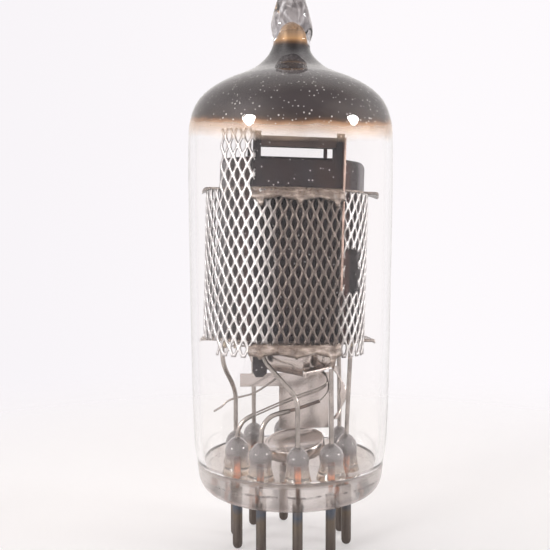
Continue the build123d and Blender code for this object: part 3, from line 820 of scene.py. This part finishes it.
def make_screen():
    """The expanded-metal screen: a lattice of diamond openings wrapped round the cage."""
    low, high = upright_box("mesh_screen")
    centre_x = (low.x + high.x) / 2
    a = (high.x - low.x) / 2 - STRAND_THICK / 2
    b = (high.y - low.y) / 2 - STRAND_THICK / 2
    turns, lengths = ellipse_table(a, b)
    total = lengths[-1]
    width = total / MESH_COLUMNS
    band_low = upright_box("bottom_mica")[1].z
    band_high = upright_box("top_mica")[0].z

    def wrapped(s, z, out):
        """Point on the oval at length s, moved outwards by out."""
        s = s % total
        index = min(int(s / total * (len(lengths) - 1)), len(lengths) - 2)
        while lengths[index + 1] < s:
            index += 1
        while lengths[index] > s:
            index -= 1
        part = (s - lengths[index]) / (lengths[index + 1] - lengths[index])
        turn = turns[index] + part * (turns[index + 1] - turns[index])
        normal = Vector((math.cos(turn) / a, math.sin(turn) / b)).normalized()
        x = centre_x + a * math.cos(turn) + normal.x * out
        return (x, b * math.sin(turn) + normal.y * out, z)

    def in_window(x, y, z):
        """True inside the window in the front, whose corners are cut off."""
        (left, right), (bottom, top) = OPENED_X, OPENED_Z
        along, up, cut = OPENED_CORNER
        if y >= 0 or not (left < x < right and bottom < z < top):
            return False
        past_x = max(left + along - x, x - right + along, 0.0)
        past_z = max(bottom + up - z, z - top + up, 0.0)
        return past_x + past_z < cut

    def kept(x, y, z):
        """True where the sheet is: the band, the tall front tab and the foot, less the window."""
        if in_window(x, y, z):
            return False
        if band_low < z < band_high:
            return True
        if y > 0:
            return False
        tab = SCREEN_TAB_X[0] < x < SCREEN_TAB_X[1]
        foot = SCREEN_FOOT_X[0] < x < SCREEN_FOOT_X[1]
        if z > band_high:
            return tab and z < high.z
        return (tab or foot) and z > low.z

    half_w, half_h = width / 2, MESH_PITCH_Z / 2
    open_w, open_h = OPENING
    corners = [(0, half_h), (half_w, 0), (0, -half_h), (-half_w, 0)]
    inner_corners = [(0, open_h), (open_w, 0), (0, -open_h), (-open_w, 0)]
    side_steps = 4
    outer_ring, inner_ring = [], []
    for k in range(4):
        (x0, z0), (x1, z1) = corners[k], corners[(k + 1) % 4]
        (u0, w0), (u1, w1) = inner_corners[k], inner_corners[(k + 1) % 4]
        for step in range(side_steps):
            t = step / side_steps
            outer_ring.append((x0 + (x1 - x0) * t, z0 + (z1 - z0) * t))
            swell = 1.0 + OPENING_SWELL * math.sin(math.pi * t)
            inner_ring.append(((u0 + (u1 - u0) * t) * swell, (w0 + (w1 - w0) * t) * swell))
    count = len(outer_ring)
    verts, faces = [], []
    rows = int((high.z - low.z) / half_h) + 3
    for j in range(-1, rows):
        z0 = low.z + j * half_h
        for i in range(2 * MESH_COLUMNS):
            if (i + j) % 2:
                continue
            s0 = i * half_w
            first = len(verts)
            for (ox, oz), (ix, iz) in zip(outer_ring, inner_ring):
                lift = STRAND_TWIST * max(-1.0, min(1.0, TWIST_STEEPNESS * iz / open_h))
                verts.append(wrapped(s0 + ox, z0 + oz, 0.0))
                verts.append(wrapped(s0 + ix, z0 + iz, lift))
            for k in range(count):
                n = (k + 1) % count
                face = (first + 2 * k, first + 2 * n, first + 2 * n + 1, first + 2 * k + 1)
                centre = [sum(verts[v][axis] for v in face) / 4 for axis in range(3)]
                if kept(*centre):
                    faces.append(face)
    used = sorted({v for face in faces for v in face})
    renumber = {old: new for new, old in enumerate(used)}
    verts = [verts[v] for v in used]
    faces = [tuple(renumber[v] for v in face) for face in faces]
    screen = piece_from("mesh_screen_lattice", verts, faces, "screen_mesh", cage=True)
    screen = thicken(clean(screen, MERGE_LATTICE), STRAND_THICK)
    return finished(screen, "screen_mesh", "mesh_screen")


# X, half width, reach and droop of each of a plate's front teeth
TOP_TEETH = [(-3.7, 0.42, 1.15, 1.7), (0.0, 0.38, 1.05, 1.5), (3.7, 0.38, 1.1, 1.6)]
LOW_TEETH = [(-3.4, 0.42, 1.1, 1.3), (0.05, 0.42, 1.05, 1.2), (3.65, 0.36, 0.7, 2.2)]


def make_mica(name, node, teeth):
    """A mica plate with scalloped edges, front teeth bent down, and a curled fringe between them."""
    low, high = upright_box(node)
    ear = high.x
    body_x, body_y, ear_y = 7.7, 5.0, 1.6
    tooth_pitch, fringe_x, fringe_reach = 3.7, 4.9, 1.15
    columns, bands, curl_steps = 150, 13, 6
    wide = bands + curl_steps
    xs = [-ear + 2 * ear * k / columns for k in range(columns + 1)]

    def depth(x):
        """How far the edge is from the middle line, without its teeth and fringe."""
        oval = body_y * math.sqrt(max(0.0, 1 - (x / body_x) ** 2))
        edge = max(oval, ear_y * min(1.0, math.sqrt(max(0.0, (ear + 0.001 - abs(x)) / 0.5))))
        scallop = 0.0
        if abs(x) < tooth_pitch:
            scallop = 0.28 * abs(math.sin(math.pi * (x + tooth_pitch) / tooth_pitch))
        return edge + (0.35 - scallop if abs(x) < 4.6 else 0.0)

    def tooth(x):
        """Reach and droop of the tooth at this X."""
        for at, half_width, reach, droop in teeth:
            near = abs(x - at) / half_width
            if near < 1.0:
                shape = (1 - near ** 2.4) ** 0.6
                return reach * shape, droop * shape
        return 0.0, 0.0

    verts, faces = [], []
    for z_side in (high.z, low.z):
        for x in xs:
            half = depth(x)
            reach, droop = tooth(x)
            if abs(x) < fringe_x:
                arc = abs(math.cos(math.pi * (x + tooth_pitch) / tooth_pitch))
                edge = min(1.0, (fringe_x - abs(x)) / 0.4)
                reach = max(reach, fringe_reach * edge)
                droop = max(droop, (0.7 + 0.35 * arc) * edge)
            sag = 0.35 * max(0.0, (abs(x) - ear + 0.7) / 0.7) ** 2
            for step in range(curl_steps, 0, -1):
                t = step / curl_steps
                y = -half - reach * math.sin(t * math.pi / 2)
                verts.append((x, y, z_side - sag - droop * t ** 1.6))
            for band in range(bands):
                y = -half + 2 * half * band / (bands - 1)
                verts.append((x, y, z_side - sag))
    shift = len(xs) * wide
    for i in range(columns):
        for j in range(wide - 1):
            a, b = i * wide + j, (i + 1) * wide + j
            faces.append((a, b, b + 1, a + 1))
            faces.append((shift + a + 1, shift + b + 1, shift + b, shift + a))
        for j in (0, wide - 1):
            a, b = i * wide + j, (i + 1) * wide + j
            faces.append((a, shift + a, shift + b, b) if j == 0 else (a, b, shift + b, shift + a))
    for i in (0, columns):
        for j in range(wide - 1):
            a = i * wide + j
            faces.append((a, a + 1, shift + a + 1, shift + a) if i == 0
                         else (a, shift + a, shift + a + 1, a + 1))
    plate = clean(piece_from(name, verts, faces, "mica", cage=True), MERGE)
    return finished(plate, "mica", node)


def make_cup():
    """The round metal cup over the middle of the button, askew, with a fine rolled rim."""
    place = middle("stem_cup")
    about_x, about_y = (math.radians(angle) for angle in CUP_TILT)
    tilt = Matrix.Rotation(about_x, 3, "X") @ Matrix.Rotation(about_y, 3, "Y")
    top, r = CUP_HALF_HEIGHT, CUP_R
    profile = [(r - 0.2, -top), (r, -top), (r, top - 0.2), (r - 0.06, top - 0.05), (r - 0.2, top),
               (r - 0.35, top - 0.05), (r - 0.5, top - 0.16), (0.0, top - 0.2), (0.0, top - 0.35),
               (r - 0.2, top - 0.35)]
    verts, faces = lathe_mesh(profile, CUP_SEGMENTS, closed=True)
    verts = [place + tilt @ Vector(v) for v in verts]
    cup = clean(piece_from("stem_cup_turned", verts, faces, "bright_nickel"), MERGE)
    return finished(cup, "bright_nickel", "stem_cup")


def make_low_shield():
    """The bright shield under the bottom mica: three parts round its front, and a bent-out flap."""
    top = upright_box("bottom_mica")[0].z - 0.02
    curved = [(-2.5, -1.9, 13.3), (-2.95, -2.45, 13.3), (-2.55, -3.0, 13.2), (-1.4, -3.3, 13.0),
              (0.2, -3.3, 12.7), (1.15, -3.1, 12.45)]
    turned_in = [(1.15, -3.1, 13.35), (1.9, -2.8, 13.35), (2.2, -2.25, 13.35), (2.45, -2.05, 13.35)]
    turned_out = [(2.45, -2.05, 13.35), (2.75, -2.45, 13.35), (3.4, -2.55, 13.35), (4.3, -2.2, 13.4)]
    for index, low_edge in enumerate((curved, turned_in, turned_out)):
        edges = [[(x, y, low), (x, y, top)] for x, y, low in smooth_path(low_edge, 6)]
        name = f"low_shield_part_{index + 1}"
        shield = sheet_strip(name, edges, SHIELD_THICK, "bright_nickel", cage=True)
        finished(shield, "bright_nickel", "low_shield")
    edges = []
    flap_steps = 12
    for k in range(flap_steps + 1):
        t = k / flap_steps
        x = 1.15 + 2.8 * t
        hinge = (x, -3.1 + 0.55 * t, 13.4)
        edges.append([hinge, (x + 0.1, -3.55 + 0.95 * t, 13.38 - (1 - t) ** 0.8)])
    flap = sheet_strip("low_shield_flap", edges, FLAP_THICK, "bright_nickel", cage=True)
    return finished(flap, "bright_nickel")


def make_strap():
    """The crimped and twisted strap beside lead 7."""
    top_x, top_y, top_z = STRAP_TOP
    edges = []
    rows = 46
    for k in range(rows + 1):
        t = k / rows
        z = top_z - STRAP_DROP * t
        x = top_x + STRAP_BOW * math.sin(math.pi * t) ** 0.8 * (0.55 + 0.45 * t)
        turn = 5.2 * t + 0.5
        half_width = STRAP_HALF_WIDTH * (1 - 0.35 * t)
        pinch = 0.05 * math.sin(9.0 * t)
        dx, dy = math.cos(turn) * half_width, math.sin(turn) * half_width * 0.55
        edges.append([(x - dx, top_y - dy + pinch, z), (x + dx, top_y + dy + pinch, z)])
    strap = sheet_strip("pin_7_twisted_strap", edges, STRAP_THICK, "bright_nickel")
    return finished(strap, "bright_nickel", "pin_7_strap")


def dress_cad_nodes():
    """Better materials for the CAD nodes that stay."""
    finishes = {
        "dark_nickel": ["anode", "top_shield", "front_panel", "rear_panel", "anode_tab"],
        "getter_steel": ["getter_channel"],
        "getter_metal": ["getter_fill"],
        "bright_nickel": ["stem_plate", "cathode_tab", "control_grid_strap", "screen_grid_strap",
                          "lead_2_tab"],
        "grid_wire": ["control_grid", "screen_grid", "suppressor_grid", "anode_rod_left",
                      "anode_rod_right"],
        "tan_rod": ["seam_rod"],
        "white_oxide": ["cathode_sleeve"],
    }
    for finish, nodes in finishes.items():
        for node in nodes:
            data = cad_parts[node].data
            data.materials.clear()
            data.materials.append(MATERIALS[finish])


# ---------------------------------------------------------------- stage, camera and light
FLOOR_HALF = 1.3          # metres
FLOOR_FADE = (0.025, 0.12)    # metres from the tube between which the floor fades out


def make_floor():
    """A plain pale floor under the pins."""
    mesh = bpy.data.meshes.new("floor")
    h, z = FLOOR_HALF, FLOOR_Z * MM
    mesh.from_pydata([(-h, -h, z), (h, -h, z), (h, h, z), (-h, h, z)], [], [(0, 1, 2, 3)])
    mesh.materials.append(floor_material())
    floor = placed("floor", mesh)


VIEW_AZIMUTH = -6.0       # degrees round Z from the tube's front
VIEW_PITCH = 2.29         # degrees below level
VIEW_DISTANCE = 83.45     # millimetres from the tube's axis
VIEW_HEIGHT = 25.9        # millimetres above the button's underside
VIEW_SHIFT = 1.59         # how far the axis is right of the camera's own line
VIEW_LENS = 52.36

SIDE_GLOW = 0.85          # brightness of the surround as a source of light
TOP_GLOW = 1.15
FRONT_DIM = 0.06          # the share of it that is left in the dark room behind the camera
LAMPS = {                 # direction from the tube, and width and height in metres
    "window_left": ((-0.768, -0.578, 0.276), 0.80, 0.46),
    "window_right": ((0.878, -0.391, 0.276), 0.78, 0.46),
}
LAMP_DISTANCE = 3.0       # metres
LAMP_RADIANCE = 40.0


def make_camera():
    """The camera at the photograph's viewing angle."""
    turn = math.radians(VIEW_AZIMUTH)
    camera = placed("camera", bpy.data.cameras.new("camera"))
    camera.data.lens = VIEW_LENS
    camera.data.sensor_width = 36.0
    camera.data.clip_start = 0.001
    x = VIEW_DISTANCE * math.sin(turn) - VIEW_SHIFT * math.cos(turn)
    y = -VIEW_DISTANCE * math.cos(turn) - VIEW_SHIFT * math.sin(turn)
    camera.location = Vector((x, y, VIEW_HEIGHT)) * MM
    camera.rotation_euler = (math.radians(90 - VIEW_PITCH), 0, turn)
    bpy.context.scene.camera = camera


def make_window(name, direction, width, height):
    """A soft oval light, like a window, far off in one direction from the tube."""
    data = bpy.data.lights.new(name, "AREA")
    data.shape = "ELLIPSE"
    data.size, data.size_y = width, height
    data.energy = LAMP_RADIANCE * math.pi * width * height * math.pi / 4
    lamp = placed(name, data)
    lamp.location = Vector(direction).normalized() * LAMP_DISTANCE
    lamp.rotation_euler = Vector(direction).to_track_quat("Z", "Y").to_euler()


def make_world():
    """A pale surround: near white to look at, and dark towards the front as a source of light."""
    world = bpy.data.worlds.new("surround")
    bpy.context.scene.world = world
    world.use_nodes = True
    tree = world.node_tree
    tree.nodes.clear()

    def node(kind, **settings):
        made = tree.nodes.new(kind)
        for key, value in settings.items():
            setattr(made, key, value)
        return made

    def remapped(source, low, high, to_low, to_high):
        made = node("ShaderNodeMapRange", interpolation_type="SMOOTHSTEP")
        for key, value in (("From Min", low), ("From Max", high), ("To Min", to_low), ("To Max", to_high)):
            made.inputs[key].default_value = value
        tree.links.new(source, made.inputs["Value"])
        return made.outputs[0]

    coords = node("ShaderNodeTexCoord")
    split = node("ShaderNodeSeparateXYZ")
    tree.links.new(coords.outputs["Generated"], split.inputs[0])

    seen = node("ShaderNodeBackground")
    tone = node("ShaderNodeMix", data_type="RGBA")
    tone.inputs[6].default_value = (0.935, 0.905, 0.935, 1)
    tone.inputs[7].default_value = (0.985, 0.955, 0.98, 1)
    tree.links.new(remapped(split.outputs[0], -0.35, 0.3, 0.0, 1.0), tone.inputs[0])
    tree.links.new(tone.outputs[2], seen.inputs["Color"])

    # the dark room behind the camera, a little to its right
    toward = node("ShaderNodeVectorMath", operation="DOT_PRODUCT")
    toward.inputs[1].default_value = (0.30, -0.90, 0.32)
    tree.links.new(coords.outputs["Generated"], toward.inputs[0])
    room = remapped(toward.outputs["Value"], 0.1, 0.85, 1.0, FRONT_DIM)
    overhead = remapped(split.outputs[2], -0.4, 0.9, SIDE_GLOW, TOP_GLOW)
    strength = node("ShaderNodeMath", operation="MULTIPLY")
    tree.links.new(room, strength.inputs[0])
    tree.links.new(overhead, strength.inputs[1])
    lit = node("ShaderNodeBackground")
    lit.inputs["Color"].default_value = (1.0, 0.965, 0.95, 1)
    tree.links.new(strength.outputs[0], lit.inputs["Strength"])

    path = node("ShaderNodeLightPath")
    direct = node("ShaderNodeMath", operation="MAXIMUM")
    tree.links.new(path.outputs["Is Camera Ray"], direct.inputs[0])
    tree.links.new(path.outputs["Is Transmission Ray"], direct.inputs[1])
    blend = node("ShaderNodeMixShader")
    output = node("ShaderNodeOutputWorld")
    tree.links.new(direct.outputs[0], blend.inputs[0])
    tree.links.new(lit.outputs[0], blend.inputs[1])
    tree.links.new(seen.outputs[0], blend.inputs[2])
    tree.links.new(blend.outputs[0], output.inputs[0])


# ---------------------------------------------------------------- build
make_camera()
make_world()
for lamp_name, (direction, width, height) in LAMPS.items():
    make_window(lamp_name, direction, width, height)
make_floor()
make_bulb()
make_film()
make_stem()
make_beads()
make_pins()
make_seals()
make_leads()
make_heater()
make_whisker()
make_screen()
make_mica("mica_plate_top", "top_mica", TOP_TEETH)
make_mica("mica_plate_bottom", "bottom_mica", LOW_TEETH)
make_cup()
make_low_shield()
make_strap()
dress_cad_nodes()
bpy.context.scene.view_settings.view_transform = "Standard"
